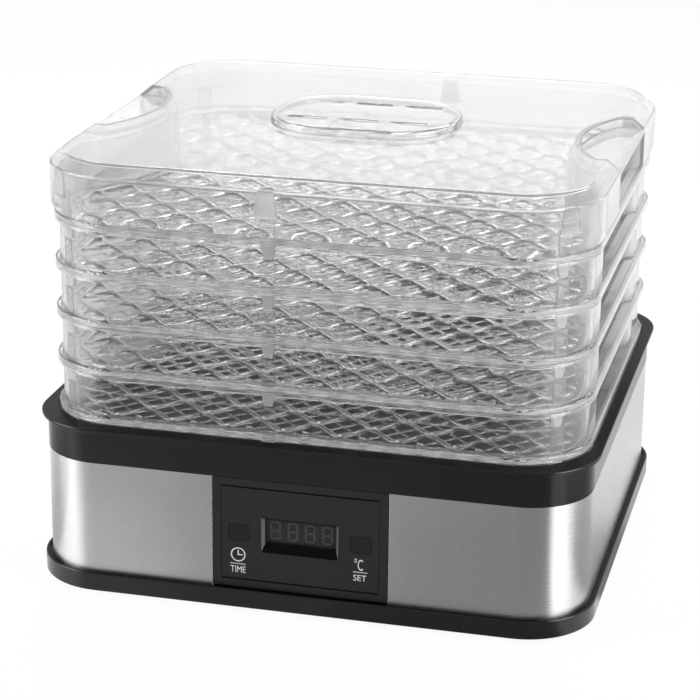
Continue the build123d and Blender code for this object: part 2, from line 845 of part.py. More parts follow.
def make_lid():
    slope_z = lid_h - lid_slope_h
    top_grow = lid_out - lid_slope_w
    outer = lid_shell([(0, lid_out - lid_foot_in), (lid_foot_h, lid_out), (slope_z, lid_out), (lid_h, top_grow)])
    # the inner side of the slope keeps the wall's thickness
    run = lid_slope_w / lid_slope_h
    side = lid_t * math.hypot(1, run)
    inner_grow = lid_out - lid_t
    bend_z = slope_z - (side - lid_t) / run
    ceiling = lid_h - lid_t
    ceiling_grow = inner_grow - (ceiling - bend_z) * run
    inner = lid_shell([(0, lid_gap), (lid_foot_h, inner_grow), (bend_z, inner_grow), (ceiling, ceiling_grow)])
    # upright scoops with square ends outside those of the trays, and a straight shelf at the slope's foot
    scoop_face = lid_scoops(lid_out, 0)
    outer -= slab(scoop_face, 0, slope_z - lid_t)
    outer -= slab(scoop_face, slope_z, lid_h)
    inner -= slab(lid_scoops(inner_grow, lid_t), 0, ceiling)
    lid = outer - inner
    # raised vent in the middle of the top
    vent = slab(RectangleRounded(vent_w, vent_d, vent_r), ceiling, lid_h + vent_h)
    vent = fillet(vent.faces().sort_by(Axis.Z)[-1].edges(), vent_round)
    lid += vent
    hollow = RectangleRounded(vent_w - 2 * lid_t, vent_d - 2 * lid_t, vent_r - lid_t)
    lid -= slab(hollow, ceiling, lid_h + vent_h - lid_t)
    for step in (-1, 0, 1):
        for row in (-0.5, 0.5):
            slot = Pos(step * vent_slot_pitch_x, row * vent_slot_pitch_y) * SlotOverall(vent_slot_l, vent_slot_w)
            lid -= slab(slot, lid_h, lid_h + vent_h)
    # short ribs inside the side wall
    rib = tapered_plate(lid_rib_w, lid_rib_foot_w, bend_z, bend_z - lid_rib_h, lid_rib_t)
    for piece in around_stack(rib, -inner_grow, lug_x):
        lid += piece
    return lid


def export(name, shape):
    shape.label = name
    export_step(shape, "parts/" + name + ".step")


def main():
    os.makedirs("parts", exist_ok=True)
    export("base_housing", make_base_housing())
    export("steel_band", make_steel_band())
    export("top_rim", make_top_rim())
    export("outlet_grille", make_outlet_grille())
    export("control_fascia", make_fascia())
    export("display_lens", make_lens())
    export("display_module", make_display_module())
    export("display_digits", make_digit_bars())
    export("time_button", make_button(-button_x))
    export("set_button", make_button(button_x))
    export("button_switches", make_switches())
    export("control_board", make_control_board())
    export("control_board_screws", make_control_screws())
    export("power_board", make_power_board())
    export("power_relay", on_power_board(-part_spread_x, 0, relay_size))
    export("filter_capacitor", on_power_board(part_spread_x, part_spread_y, capacitor_size))
    export("terminal_block", make_terminal_block())
    export("power_board_screws", make_power_screws())
    export("motor_bracket", make_motor_bracket())
    export("bracket_screws", make_bracket_screws())
    export("fan_motor", make_motor())
    export("motor_screws", make_motor_screws())
    export("motor_shaft", make_shaft())
    export("fan_impeller", make_impeller())
    export("air_duct", make_duct())
    export("duct_screws", make_duct_screws())
    export("heater_ring", make_heater())
    export("heater_holders", make_heater_holders())
    export("thermal_cutout", make_cutout())
    export("air_sensor", make_sensor())
    export("cord_bush", make_cord_bush())
    export("rubber_feet", make_feet())
    export("housing_screws", make_housing_screws())
    frame = make_tray_frame()
    net = make_tray_net()
    for number in range(1, tray_count + 1):
        place = Pos(0, 0, seat_z + (tray_count - number) * tray_pitch)
        export("tray_" + str(number) + "_frame", place * frame)
        export("tray_" + str(number) + "_net", place * net)
    export("lid", Pos(0, 0, lid_seat) * make_lid())


main()
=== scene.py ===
import bpy
import bmesh
import json
import math
from mathutils import Matrix, Vector


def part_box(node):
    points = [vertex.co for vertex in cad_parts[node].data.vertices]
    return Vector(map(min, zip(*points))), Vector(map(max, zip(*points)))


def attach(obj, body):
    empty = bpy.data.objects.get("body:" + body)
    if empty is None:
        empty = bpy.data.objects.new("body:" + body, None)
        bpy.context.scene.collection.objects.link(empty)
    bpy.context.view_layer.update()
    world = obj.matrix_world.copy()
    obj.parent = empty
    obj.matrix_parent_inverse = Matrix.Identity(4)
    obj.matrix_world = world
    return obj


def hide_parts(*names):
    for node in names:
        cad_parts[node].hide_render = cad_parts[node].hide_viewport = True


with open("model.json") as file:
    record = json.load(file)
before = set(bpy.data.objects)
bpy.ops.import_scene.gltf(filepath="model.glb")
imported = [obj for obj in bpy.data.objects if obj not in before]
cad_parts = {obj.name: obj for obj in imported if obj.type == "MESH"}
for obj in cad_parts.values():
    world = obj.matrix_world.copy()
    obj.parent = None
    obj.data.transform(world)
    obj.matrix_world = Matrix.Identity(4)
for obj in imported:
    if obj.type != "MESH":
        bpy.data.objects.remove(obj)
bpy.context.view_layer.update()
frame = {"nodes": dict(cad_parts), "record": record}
nodes = frame["nodes"]
scene = bpy.context.scene
mm = 0.001


# shader maths written as Python: a Value is a socket in one finish
class Value:
    def __init__(self, finish, socket):
        self.finish = finish
        self.socket = socket

    def calc(self, operation, first, second):
        return self.finish.node("ShaderNodeMath", {"operation": operation}, {0: first, 1: second})

    def __add__(self, other):
        return self.calc("ADD", self, other)

    def __radd__(self, other):
        return self.calc("ADD", other, self)

    def __sub__(self, other):
        return self.calc("SUBTRACT", self, other)

    def __rsub__(self, other):
        return self.calc("SUBTRACT", other, self)

    def __mul__(self, other):
        return self.calc("MULTIPLY", self, other)

    def __rmul__(self, other):
        return self.calc("MULTIPLY", other, self)


# one material or world, built from nodes
class Finish:
    def __init__(self, owner):
        self.owner = owner
        owner.use_nodes = True
        self.tree = owner.node_tree
        self.tree.nodes.clear()

    def node(self, kind, settings=None, inputs=None, out=0):
        made = self.tree.nodes.new(kind)
        for key, value in (settings or {}).items():
            if key == "stops":
                ramp = made.color_ramp.elements
                while len(ramp) < len(value):
                    ramp.new(1)
                for stop, (place, level) in zip(ramp, value):
                    stop.position = place
                    stop.color = (level, level, level, 1)
            else:
                setattr(made, key, value)
        for key, value in (inputs or {}).items():
            if isinstance(value, Value):
                self.tree.links.new(value.socket, made.inputs[key])
            else:
                made.inputs[key].default_value = value
        return Value(self, made.outputs[out]) if made.outputs else None

    def place(self, stretch=(1, 1, 1), turn=(0, 0, 0)):
        # object coordinates in metres, stretched and turned
        where = self.node("ShaderNodeTexCoord", out="Object")
        return self.node("ShaderNodeMapping", {}, {"Vector": where, "Scale": stretch, "Rotation": turn})

    def noise(self, scale, detail=2.0, stretch=(1, 1, 1), roughness=0.5):
        where = self.place(stretch)
        return self.node("ShaderNodeTexNoise", {}, {"Vector": where, "Scale": scale, "Detail": detail,
                                                    "Roughness": roughness})

    def between(self, amount, first, second):
        # colour mix by amount
        return self.node("ShaderNodeMix", {"data_type": "RGBA"}, {0: amount, 6: (*first, 1), 7: (*second, 1)}, 2)

    def bump(self, height, strength, distance):
        return self.node("ShaderNodeBump", {}, {"Height": height, "Strength": strength, "Distance": distance})

    def surface(self, sockets):
        shader = self.node("ShaderNodeBsdfPrincipled", {}, sockets)
        self.node("ShaderNodeOutputMaterial", {}, {"Surface": shader})
        return self.owner


def newFinish(name):
    return Finish(bpy.data.materials.new(name))


# the milky white toward the sides is partly painted brightness from the light on the side walls
clearSet = {"tint": (0.99, 0.99, 0.99), "smeared": (0.97, 0.97, 0.97), "milkAndLitWhite": (0.95, 0.95, 0.95, 1),
            "sideFrom": 108 * mm, "sideTo": 150 * mm, "cornerFrom": 80 * mm, "cornerTo": 125 * mm,
            "cornerShare": 0.4}


def clearPlastic(name, clear, ripple, ior, sideHazeAndLight=0.0, topHaze=0.0):
    # a milky white grows toward the sides, in upright streaks: partly a haze of the moulding and partly painted
    # brightness where light falls on the side walls; level faces have a milky layer of their own
    f = newFinish(name)
    flow = f.noise(ripple, 1.0, (1, 1, 0.6))
    smear = f.noise(160.0, 3.0)
    wavy = f.bump(flow, 0.06, 4 * mm)
    glass = f.node("ShaderNodeBsdfPrincipled", {}, {
        "Base Color": f.between(smear, clearSet["tint"], clearSet["smeared"]),
        "Roughness": 0.015 + 0.06 * smear * smear,
        "Normal": wavy,
        "IOR": ior,
        "Transmission Weight": clear,
    })
    milkAndLit = f.node("ShaderNodeBsdfPrincipled", {}, {"Base Color": clearSet["milkAndLitWhite"], "Roughness": 0.06,
                                                   "Normal": wavy})
    x, y = (f.node("ShaderNodeSeparateXYZ", {}, {0: f.place()}, axis) for axis in "XY")
    side = f.node("ShaderNodeMapRange", {"interpolation_type": "SMOOTHSTEP"},
                  {0: x.calc("ABSOLUTE", x, 0), 1: clearSet["sideFrom"], 2: clearSet["sideTo"], 3: 0.0, 4: sideHazeAndLight})
    corner = f.node("ShaderNodeMapRange", {"interpolation_type": "SMOOTHSTEP"},
                    {0: y.calc("ABSOLUTE", y, 0), 1: clearSet["cornerFrom"], 2: clearSet["cornerTo"], 3: 1.0,
                     4: clearSet["cornerShare"]})
    streak = f.noise(60.0, 2.0, (1, 1, 0.06))
    up = f.node("ShaderNodeSeparateXYZ", {}, {0: f.node("ShaderNodeTexCoord", out="Normal")}, "Z")
    level = f.node("ShaderNodeMapRange", {}, {0: up.calc("ABSOLUTE", up, 0), 1: 0.8, 2: 0.97, 3: 0.0, 4: topHaze})
    amount = level.calc("MAXIMUM", side * corner * (0.6 + 0.8 * streak), level * (0.85 + 0.3 * smear))
    both = f.node("ShaderNodeMixShader", {}, {0: amount, 1: glass, 2: milkAndLit})
    f.node("ShaderNodeOutputMaterial", {}, {"Surface": both})
    return f.owner


def blackPlastic(name, colour, rough, grain, gloss, matt=0.0):
    # level faces are more matt than upright ones
    f = newFinish(name)
    cloud = f.noise(14.0, 3.0)
    fine = f.noise(grain, 2.0)
    tone = f.between(cloud, colour, tuple(c * 1.35 for c in colour))
    grainy = f.bump(fine, 0.1, 0.05 * mm)
    shiny = f.node("ShaderNodeBsdfPrincipled", {}, {"Base Color": tone, "Roughness": rough + 0.08 * cloud - 0.04,
                                                    "Normal": grainy, "Specular IOR Level": gloss})
    dull = f.node("ShaderNodeBsdfPrincipled", {}, {"Base Color": tone, "Roughness": 0.3 + 0.1 * cloud,
                                                   "Normal": grainy, "Specular IOR Level": 0.05})
    facing = f.node("ShaderNodeTexCoord", out="Normal")
    up = f.node("ShaderNodeSeparateXYZ", {}, {0: facing}, "Z")
    level = f.node("ShaderNodeMapRange", {}, {0: up, 1: 0.75, 2: 0.95, 3: 0.0, 4: matt})
    both = f.node("ShaderNodeMixShader", {}, {0: level, 1: shiny, 2: dull})
    f.node("ShaderNodeOutputMaterial", {}, {"Surface": both})
    return f.owner


def brushedSteel():
    look = {"dark": (0.70, 0.70, 0.705), "pale": (0.88, 0.88, 0.885), "rough": 0.27}
    f = newFinish("brushedSteel")
    lines = f.noise(60.0, 5.0, (0.5, 0.5, 110.0), 0.6)
    cloud = f.noise(15.0, 2.0, (1, 1, 1.6))
    return f.surface({
        "Base Color": f.between(lines * 0.45 + cloud * 0.55, look["dark"], look["pale"]),
        "Roughness": look["rough"] - 0.04 + 0.08 * lines,
        "Metallic": 1.0,
        "Normal": f.bump(lines, 0.06, 0.03 * mm),
        "Anisotropic": 0.88,
        "Anisotropic Rotation": 0.25,
    })


def plainFinish(name, colour, rough=0.45, metal=0.0, grain=300.0, vary=0.25):
    f = newFinish(name)
    cloud = f.noise(40.0, 3.0)
    fine = f.noise(grain, 2.0)
    return f.surface({
        "Base Color": f.between(cloud, colour, tuple(c * (1 - vary) for c in colour)),
        "Roughness": rough + 0.15 * fine - 0.07,
        "Metallic": metal,
        "Normal": f.bump(fine, 0.1, 0.1 * mm),
    })


def greenBoard():
    f = newFinish("greenBoard")
    where = f.place()
    tracks = f.node("ShaderNodeTexBrick", {"offset": 0.37}, {"Vector": where, "Scale": 90.0, "Mortar Size": 0.06,
                                                             "Color1": (0, 0, 0, 1), "Color2": (0, 0, 0, 1),
                                                             "Mortar": (1, 1, 1, 1)})
    return f.surface({
        "Base Color": f.between(tracks, (0.015, 0.12, 0.05), (0.05, 0.26, 0.12)),
        "Roughness": 0.3 + 0.2 * tracks,
        "Normal": f.bump(tracks, 0.3, 0.05 * mm),
    })


def smokedLens():
    f = newFinish("smokedLens")
    smear = f.noise(90.0, 2.0)
    return f.surface({
        "Base Color": f.between(smear, (0.012, 0.012, 0.013), (0.02, 0.02, 0.021)),
        "Roughness": 0.08 + 0.08 * smear,
        "Alpha": 0.28,
    })


finishes = {
    "clear_plastic": clearPlastic("clearPlastic", 0.985, 24.0, 1.48, 0.25),
    "black_plastic": blackPlastic("blackPlastic", (0.004, 0.004, 0.0042), 0.14, 900.0, 0.66, 1.0),
    "panel_plastic": blackPlastic("panelPlastic", (0.016, 0.016, 0.0165), 0.4, 1400.0, 0.4),
    "button_plastic": blackPlastic("buttonPlastic", (0.01, 0.01, 0.0102), 0.35, 1400.0, 0.4),
    "brushed_steel": brushedSteel(),
    "smoked_lens": smokedLens(),
    "display_black": plainFinish("displayBlack", (0.085, 0.085, 0.086), 0.5),
    "unlit_bars": plainFinish("unlitBars", (0.26, 0.26, 0.258), 0.5),
    "soft_rubber": plainFinish("softRubber", (0.02, 0.02, 0.02), 0.7, 0.0, 700.0),
    "sheet_steel": plainFinish("sheetSteel", (0.55, 0.56, 0.57), 0.35, 1.0),
    "screw_steel": plainFinish("screwSteel", (0.6, 0.6, 0.58), 0.3, 1.0),
    "motor_steel": plainFinish("motorSteel", (0.3, 0.31, 0.32), 0.4, 0.6),
    "fan_plastic": plainFinish("fanPlastic", (0.1, 0.1, 0.11), 0.4),
    "heater_steel": plainFinish("heaterSteel", (0.3, 0.27, 0.24), 0.4, 1.0, 200.0, 0.5),
    "ceramic": plainFinish("ceramic", (0.8, 0.78, 0.72), 0.5, 0.0, 500.0, 0.1),
    "board_green": greenBoard(),
    "switch_black": plainFinish("switchBlack", (0.03, 0.03, 0.03), 0.4),
    "relay_blue": plainFinish("relayBlue", (0.04, 0.1, 0.32), 0.3),
    "capacitor_yellow": plainFinish("capacitorYellow", (0.6, 0.45, 0.1), 0.35),
    "terminal_green": plainFinish("terminalGreen", (0.07, 0.28, 0.12), 0.35),
}
lidPlastic = clearPlastic("lidPlastic", 0.95, 20.0, 1.46, 0.18, 0.15)
netPlastic = clearPlastic("netPlastic", 0.99, 60.0, 1.54)
tickPlastic = clearPlastic("tickPlastic", 0.35, 60.0, 1.5)
# painted light on the slopes round the display: a near-black with little gloss is painted shade above and below,
# and a lighter grey is painted sheen at the sides
bezelEndsPaintedShade = blackPlastic("bezelEndsPaintedShade", (0.003, 0.003, 0.003), 0.5, 1400.0, 0.06)
bezelSidesPaintedSheen = blackPlastic("bezelSidesPaintedSheen", (0.12, 0.12, 0.121), 0.22, 1400.0, 0.6)
printWhite = plainFinish("printWhite", (0.8, 0.8, 0.8), 0.5, 0.0, 2000.0, 0.08)
for entry in frame["record"]["subparts"]:
    shape = nodes[entry["node"]]
    shape.data.materials.clear()
    shape.data.materials.append(finishes[entry["material_slot"]])
print("finishes on", len(nodes), "nodes")


# a mesh object at the origin, with its place in its mesh
def newObject(name, bm):
    mesh = bpy.data.meshes.new(name)
    bm.to_mesh(mesh)
    bm.free()
    made = bpy.data.objects.new(name, mesh)
    scene.collection.objects.link(made)
    return made


def applied(shape):
    # mesh of an object with its modifiers done; the object goes
    bpy.context.view_layer.update()
    mesh = bpy.data.meshes.new_from_object(shape.evaluated_get(bpy.context.evaluated_depsgraph_get()))
    bpy.data.objects.remove(shape)
    return mesh


def addPiece(name, mesh, body, finish, stands=()):
    mesh.name = name
    mesh.materials.clear()
    mesh.materials.append(finish)
    piece = bpy.data.objects.new(name, mesh)
    scene.collection.objects.link(piece)
    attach(piece, body)
    if stands:
        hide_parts(*stands)
    return piece


edgeSet = {"frame": 0.5 * mm, "lid": 0.6 * mm, "band": 0.15 * mm, "bandEnds": 0.6 * mm, "fascia": 0.25 * mm,
           "sharp": 38.0, "smooth": 50.0, "endLength": 30 * mm}


def softened(node, width, ends=0, room=0):
    # copy of a node's mesh with its sharp edges rounded: ends is for the upright edges at the front,
    # and room is left under its foot
    bm = bmesh.new()
    bm.from_mesh(nodes[node].data)
    bmesh.ops.remove_doubles(bm, verts=bm.verts, dist=0.01 * mm)
    bmesh.ops.dissolve_limit(bm, angle_limit=math.radians(0.5), verts=bm.verts, edges=bm.edges)
    if ends:
        front = min(v.co.y for v in bm.verts)
        upright = [e for e in bm.edges if all(v.co.y < front + 0.01 * mm for v in e.verts)
                   and abs(e.verts[0].co.z - e.verts[1].co.z) > edgeSet["endLength"]
                   and e.calc_face_angle(0) > 1]
        bmesh.ops.bevel(bm, geom=upright, offset=ends, offset_type="OFFSET", affect="EDGES", segments=4,
                        profile=0.5, material=-1)
    sharp = [e for e in bm.edges if len(e.link_faces) == 2 and e.calc_face_angle() > math.radians(edgeSet["sharp"])]
    bmesh.ops.bevel(bm, geom=sharp, offset=width, offset_type="OFFSET", affect="EDGES", segments=2, profile=0.5,
                    material=-1, clamp_overlap=False, loop_slide=False)
    bmesh.ops.remove_doubles(bm, verts=bm.verts, dist=0.005 * mm)
    low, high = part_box(node)
    for v in bm.verts:
        v.co = [min(max(v.co[i], low[i]), high[i]) for i in range(3)]
        v.co.z = max(v.co.z, low[2] + room)
    for face in bm.faces:
        face.smooth = True
    made = newObject(node + "Soft", bm)
    made.data.set_sharp_from_angle(angle=math.radians(edgeSet["smooth"]))
    made.modifiers.new("even", "WEIGHTED_NORMAL").keep_sharp = True
    return applied(made)


traySet = {"count": 5, "lugDrop": 8 * mm, "lugAside": 22 * mm, "ledgeTop": 4.6 * mm, "ledgeEnd": 1 * mm}
lidSet = {"room": 0.04 * mm, "ribFrom": 140 * mm, "ribReach": 7 * mm}


def frostAndHighlightFaces(piece, chosen):
    # whiter finish on the chosen faces
    piece.data.materials.append(tickPlastic)
    for face in piece.data.polygons:
        if chosen(face.center, face.normal):
            face.material_index = 1


def softenClear():
    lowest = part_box("tray_5_frame")[0]
    source = softened("tray_5_frame", edgeSet["frame"])
    for n in range(1, traySet["count"] + 1):
        node = f"tray_{n}_frame"
        mesh = source.copy()
        mesh.transform(Matrix.Translation((0, 0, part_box(node)[0][2] - lowest[2])))
        piece = addPiece(f"tray{n}Frame", mesh, f"tray_{n}", finishes["clear_plastic"], (node,))
        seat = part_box(node)[0][2] + traySet["lugDrop"]
        # the lugs, and the inner end of the ledge that the net lies against; on the ledge's end the whiter finish
        # is a painted pale highlight line along the net's edge
        frostAndHighlightFaces(piece, lambda c, normal: c.z < seat - 0.1 * mm or c.z < seat + traySet["ledgeTop"]
                   and abs(normal.z) < 0.9 and insideNet(c.x, c.y, -traySet["ledgeEnd"]))
    lid = addPiece("clearLid", softened("lid", edgeSet["lid"], room=lidSet["room"]), "lid", lidPlastic,
                   ("lid",))
    # the ribs inside the front and back walls
    frostAndHighlightFaces(lid, lambda c, normal: abs(c.y) > lidSet["ribFrom"]
               and abs(c.x * math.copysign(1, c.y) - traySet["lugAside"]) < lidSet["ribReach"])
    print("rounded frames and lid")


panelSet = {"bezelReach": 23.6 * mm, "slope": (-0.95, -0.3)}


def softenFront():
    addPiece("steelBand", softened("steel_band", edgeSet["band"], edgeSet["bandEnds"]), "base",
             finishes["brushed_steel"], ("steel_band",))
    panel = addPiece("controlPanel", softened("control_fascia", edgeSet["fascia"]), "base",
                     finishes["panel_plastic"], ("control_fascia",))
    panel.data.materials.append(bezelSidesPaintedSheen)
    panel.data.materials.append(bezelEndsPaintedShade)
    # the slopes round the display: lighter grey at the sides as a painted sheen, near-black above and below as
    # painted shade
    steep, flat = panelSet["slope"]
    for face in panel.data.polygons:
        if steep < face.normal.y < flat and abs(face.center.x) < panelSet["bezelReach"]:
            face.material_index = 1 if abs(face.normal.x) > 0.5 else 2
    print("rounded band and panel")


netSet = {"half": (154 * mm, 142 * mm), "corner": 38 * mm, "scoopAt": 230.47 * mm, "scoopRadius": 107.97 * mm,
          "gap": 0.05 * mm, "border": 3 * mm, "cell": 24.1 * mm, "bars": 9, "barLength": 0.45, "bar": 4.0 * mm,
          "fineBar": 1.1 * mm, "thick": 2.6 * mm, "knob": 3.0 * mm, "knobFlat": 0.6, "ticks": 3,
          "tick": (3.6 * mm, 3.0 * mm, 4.6 * mm), "tickSunk": 0.8 * mm, "tickBite": 0.2 * mm, "tickRound": 0.5 * mm}


def cutBy(shape, tool, how):
    # boolean done at once, and the tool goes
    step = shape.modifiers.new("cut", "BOOLEAN")
    step.operation = how
    step.object = tool
    step.solver = "EXACT"
    bpy.context.view_layer.update()
    mesh = bpy.data.meshes.new_from_object(shape.evaluated_get(bpy.context.evaluated_depsgraph_get()))
    shape.modifiers.clear()
    shape.data = mesh
    bpy.data.objects.remove(tool)


def planBlock(name, inset, tall):
    # block with the plan of the net, inset from its edge
    bm = bmesh.new()
    bmesh.ops.create_grid(bm, x_segments=1, y_segments=1, size=1)
    bmesh.ops.scale(bm, vec=(netSet["half"][0] - inset, netSet["half"][1] - inset, 1), verts=bm.verts)
    bmesh.ops.bevel(bm, geom=bm.verts[:], offset=netSet["corner"] - inset, offset_type="OFFSET", affect="VERTICES",
                    segments=9, profile=0.5, material=-1)
    bmesh.ops.translate(bm, vec=(0, 0, -tall / 2), verts=bm.verts)
    top = bmesh.ops.extrude_face_region(bm, geom=bm.faces[:])
    bmesh.ops.translate(bm, vec=(0, 0, tall), verts=[v for v in top["geom"] if isinstance(v, bmesh.types.BMVert)])
    bmesh.ops.recalc_face_normals(bm, faces=bm.faces)
    block = newObject(name, bm)
    for side in (-1, 1):
        bm = bmesh.new()
        bmesh.ops.create_cone(bm, cap_ends=True, segments=96, radius1=netSet["scoopRadius"] + inset,
                              radius2=netSet["scoopRadius"] + inset, depth=0.05)
        bmesh.ops.translate(bm, vec=(side * netSet["scoopAt"], 0, 0), verts=bm.verts)
        cutBy(block, newObject("scoop", bm), "DIFFERENCE")
    return block


def barRow(name, width, shift, turn, tall):
    # parallel eight-sided bars, cut to the net's plan
    bm = bmesh.new()
    for i in range(-netSet["bars"], netSet["bars"] + 1):
        bar = bmesh.ops.create_cone(bm, cap_ends=True, segments=8, radius1=width / 2, radius2=width / 2,
                                    depth=netSet["barLength"])
        verts = bar["verts"]
        bmesh.ops.rotate(bm, cent=(0, 0, 0), matrix=Matrix.Rotation(math.pi / 2, 3, "X")
                         @ Matrix.Rotation(math.pi / 8, 3, "Z"), verts=verts)
        wide, high = (max(v.co[k] for v in verts) for k in (0, 2))
        bmesh.ops.scale(bm, vec=(width / 2 / wide, 1, tall / 2 / high), verts=verts)
        bmesh.ops.translate(bm, vec=((i + shift) * netSet["cell"], 0, 0), verts=verts)
    bmesh.ops.rotate(bm, cent=(0, 0, 0), matrix=Matrix.Rotation(math.radians(turn), 3, "Z"), verts=bm.verts)
    row = newObject(name, bm)
    cutBy(row, planBlock("plan", 2 * netSet["gap"], netSet["thick"]), "INTERSECT")
    return row


def insideNet(x, y, margin):
    halfX, halfY = (h - netSet["corner"] for h in netSet["half"])
    out = Vector((max(abs(x) - halfX, 0), max(abs(y) - halfY, 0))).length
    scoop = Vector((abs(x) - netSet["scoopAt"], y)).length
    return out < netSet["corner"] - margin and scoop > netSet["scoopRadius"] + margin


def addNets():
    thick = netSet["thick"]
    # a small gap keeps the net's edge and the ledge's end apart
    net = planBlock("net", netSet["gap"], thick)
    cutBy(net, planBlock("hole", netSet["border"], 2 * thick), "DIFFERENCE")
    # heights differ a little, so that no two tops lie in one plane
    for turn in (45, -45):
        lower = 0.98 if turn == 45 else 0.95
        cutBy(net, barRow("row", netSet["bar"], 0.5, turn, thick * lower), "UNION")
        cutBy(net, barRow("fine", netSet["fineBar"], 0.0, turn, netSet["fineBar"] * lower), "UNION")
    bm = bmesh.new()
    bm.from_mesh(net.data)
    reach = netSet["bars"]
    turn = Matrix.Rotation(math.radians(45), 4, "Z")
    for i in range(-reach, reach):
        for j in range(-reach, reach):
            spot = turn @ Vector(((i + 0.5) * netSet["cell"], (j + 0.5) * netSet["cell"], 0))
            if insideNet(spot.x, spot.y, netSet["knob"]):
                place = Matrix.Translation(spot) @ Matrix.Diagonal((1, 1, netSet["knobFlat"], 1))
                bmesh.ops.create_uvsphere(bm, u_segments=10, v_segments=5, radius=netSet["knob"], matrix=place)
    # small ribs on the ledge, where the bars reach the front and back walls
    wide, deep, tall = netSet["tick"]
    step = netSet["cell"] * math.sqrt(2)
    for i in range(-netSet["ticks"], netSet["ticks"] + 1):
        for side in (-1, 1):
            spot = Vector((i * step, side * (netSet["half"][1] + deep / 2 - netSet["tickBite"]),
                           tall / 2 - netSet["tickSunk"]))
            rib = bmesh.ops.create_cube(bm, size=1, matrix=Matrix.Translation(spot)
                                        @ Matrix.Diagonal((wide, deep, tall, 1)))
            edges = list({e for v in rib["verts"] for e in v.link_edges})
            for face in {f for v in rib["verts"] for f in v.link_faces}:
                face.material_index = 1
            bmesh.ops.bevel(bm, geom=edges, offset=netSet["tickRound"], offset_type="OFFSET", affect="EDGES",
                            segments=2, profile=0.5, material=-1)
    bm.to_mesh(net.data)
    bm.free()
    for face in net.data.polygons:
        face.use_smooth = True
    net.data.set_sharp_from_angle(angle=math.radians(48))
    for n in range(1, traySet["count"] + 1):
        node = f"tray_{n}_net"
        low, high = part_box(node)
        mesh = net.data.copy()
        mesh.transform(Matrix.Translation((0, 0, (low[2] + high[2]) / 2)))
        piece = addPiece(f"tray{n}Net", mesh, f"tray_{n}", netPlastic, (node,))
        piece.data.materials.append(tickPlastic)
    print("nets", len(net.data.polygons), "faces each")
    bpy.data.objects.remove(net)


stepSet = {"rise": 21 * mm, "tall": 0.7 * mm, "wall": 4 * mm, "bite": 0.3 * mm, "proud": 0.6 * mm,
           "post": (8.6 * mm, 1.9 * mm), "postRound": 0.4 * mm, "foot": 6 * mm}


def addSteps():
    # a thin step round the inside of each tray's wall, and a post under each lug of the tray above
    step = planBlock("step", -stepSet["wall"] - stepSet["bite"], stepSet["tall"])
    cutBy(step, planBlock("hole", -stepSet["wall"] + stepSet["proud"], 2 * stepSet["tall"]), "DIFFERENCE")
    halfX, halfY = (h - netSet["corner"] for h in netSet["half"])
    wide, deep = stepSet["post"]
    tall = stepSet["rise"] - stepSet["foot"]
    reach = netSet["corner"] + stepSet["wall"] + stepSet["bite"] - deep / 2
    aside = traySet["lugAside"]
    spots = [(-aside, -halfY, 0), (aside, halfY, 180)]
    spots += [(sx * halfX, sy * halfY, math.degrees(math.atan2(sy, sx)) + 90) for sx in (-1, 1) for sy in (-1, 1)]
    bm = bmesh.new()
    for x, y, turn in spots:
        place = Matrix.Translation((x, y, -tall / 2)) @ Matrix.Rotation(math.radians(turn), 4, "Z")
        post = bmesh.ops.create_cube(bm, size=1, matrix=place @ Matrix.Translation((0, -reach, 0))
                                     @ Matrix.Diagonal((wide, deep, tall, 1)))
        edges = list({e for v in post["verts"] for e in v.link_edges})
        bmesh.ops.bevel(bm, geom=edges, offset=stepSet["postRound"], offset_type="OFFSET", affect="EDGES",
                        segments=2, profile=0.5, material=-1)
    cutBy(step, newObject("posts", bm), "UNION")
    for n in range(1, traySet["count"] + 1):
        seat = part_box(f"tray_{n}_frame")[0][2] + traySet["lugDrop"]
        mesh = step.data.copy()
        mesh.transform(Matrix.Translation((0, 0, seat + stepSet["rise"])))
        addPiece(f"tray{n}Step", mesh, f"tray_{n}", finishes["clear_plastic"])
    bpy.data.objects.remove(step)
    print("steps and posts in the trays")


digitSet = {"count": 4, "pitch": 10.5 * mm, "size": (6.4 * mm, 11.6 * mm), "bar": 1.15 * mm, "gap": 0.25 * mm,
            "slant": 0.14, "thick": 0.2 * mm}


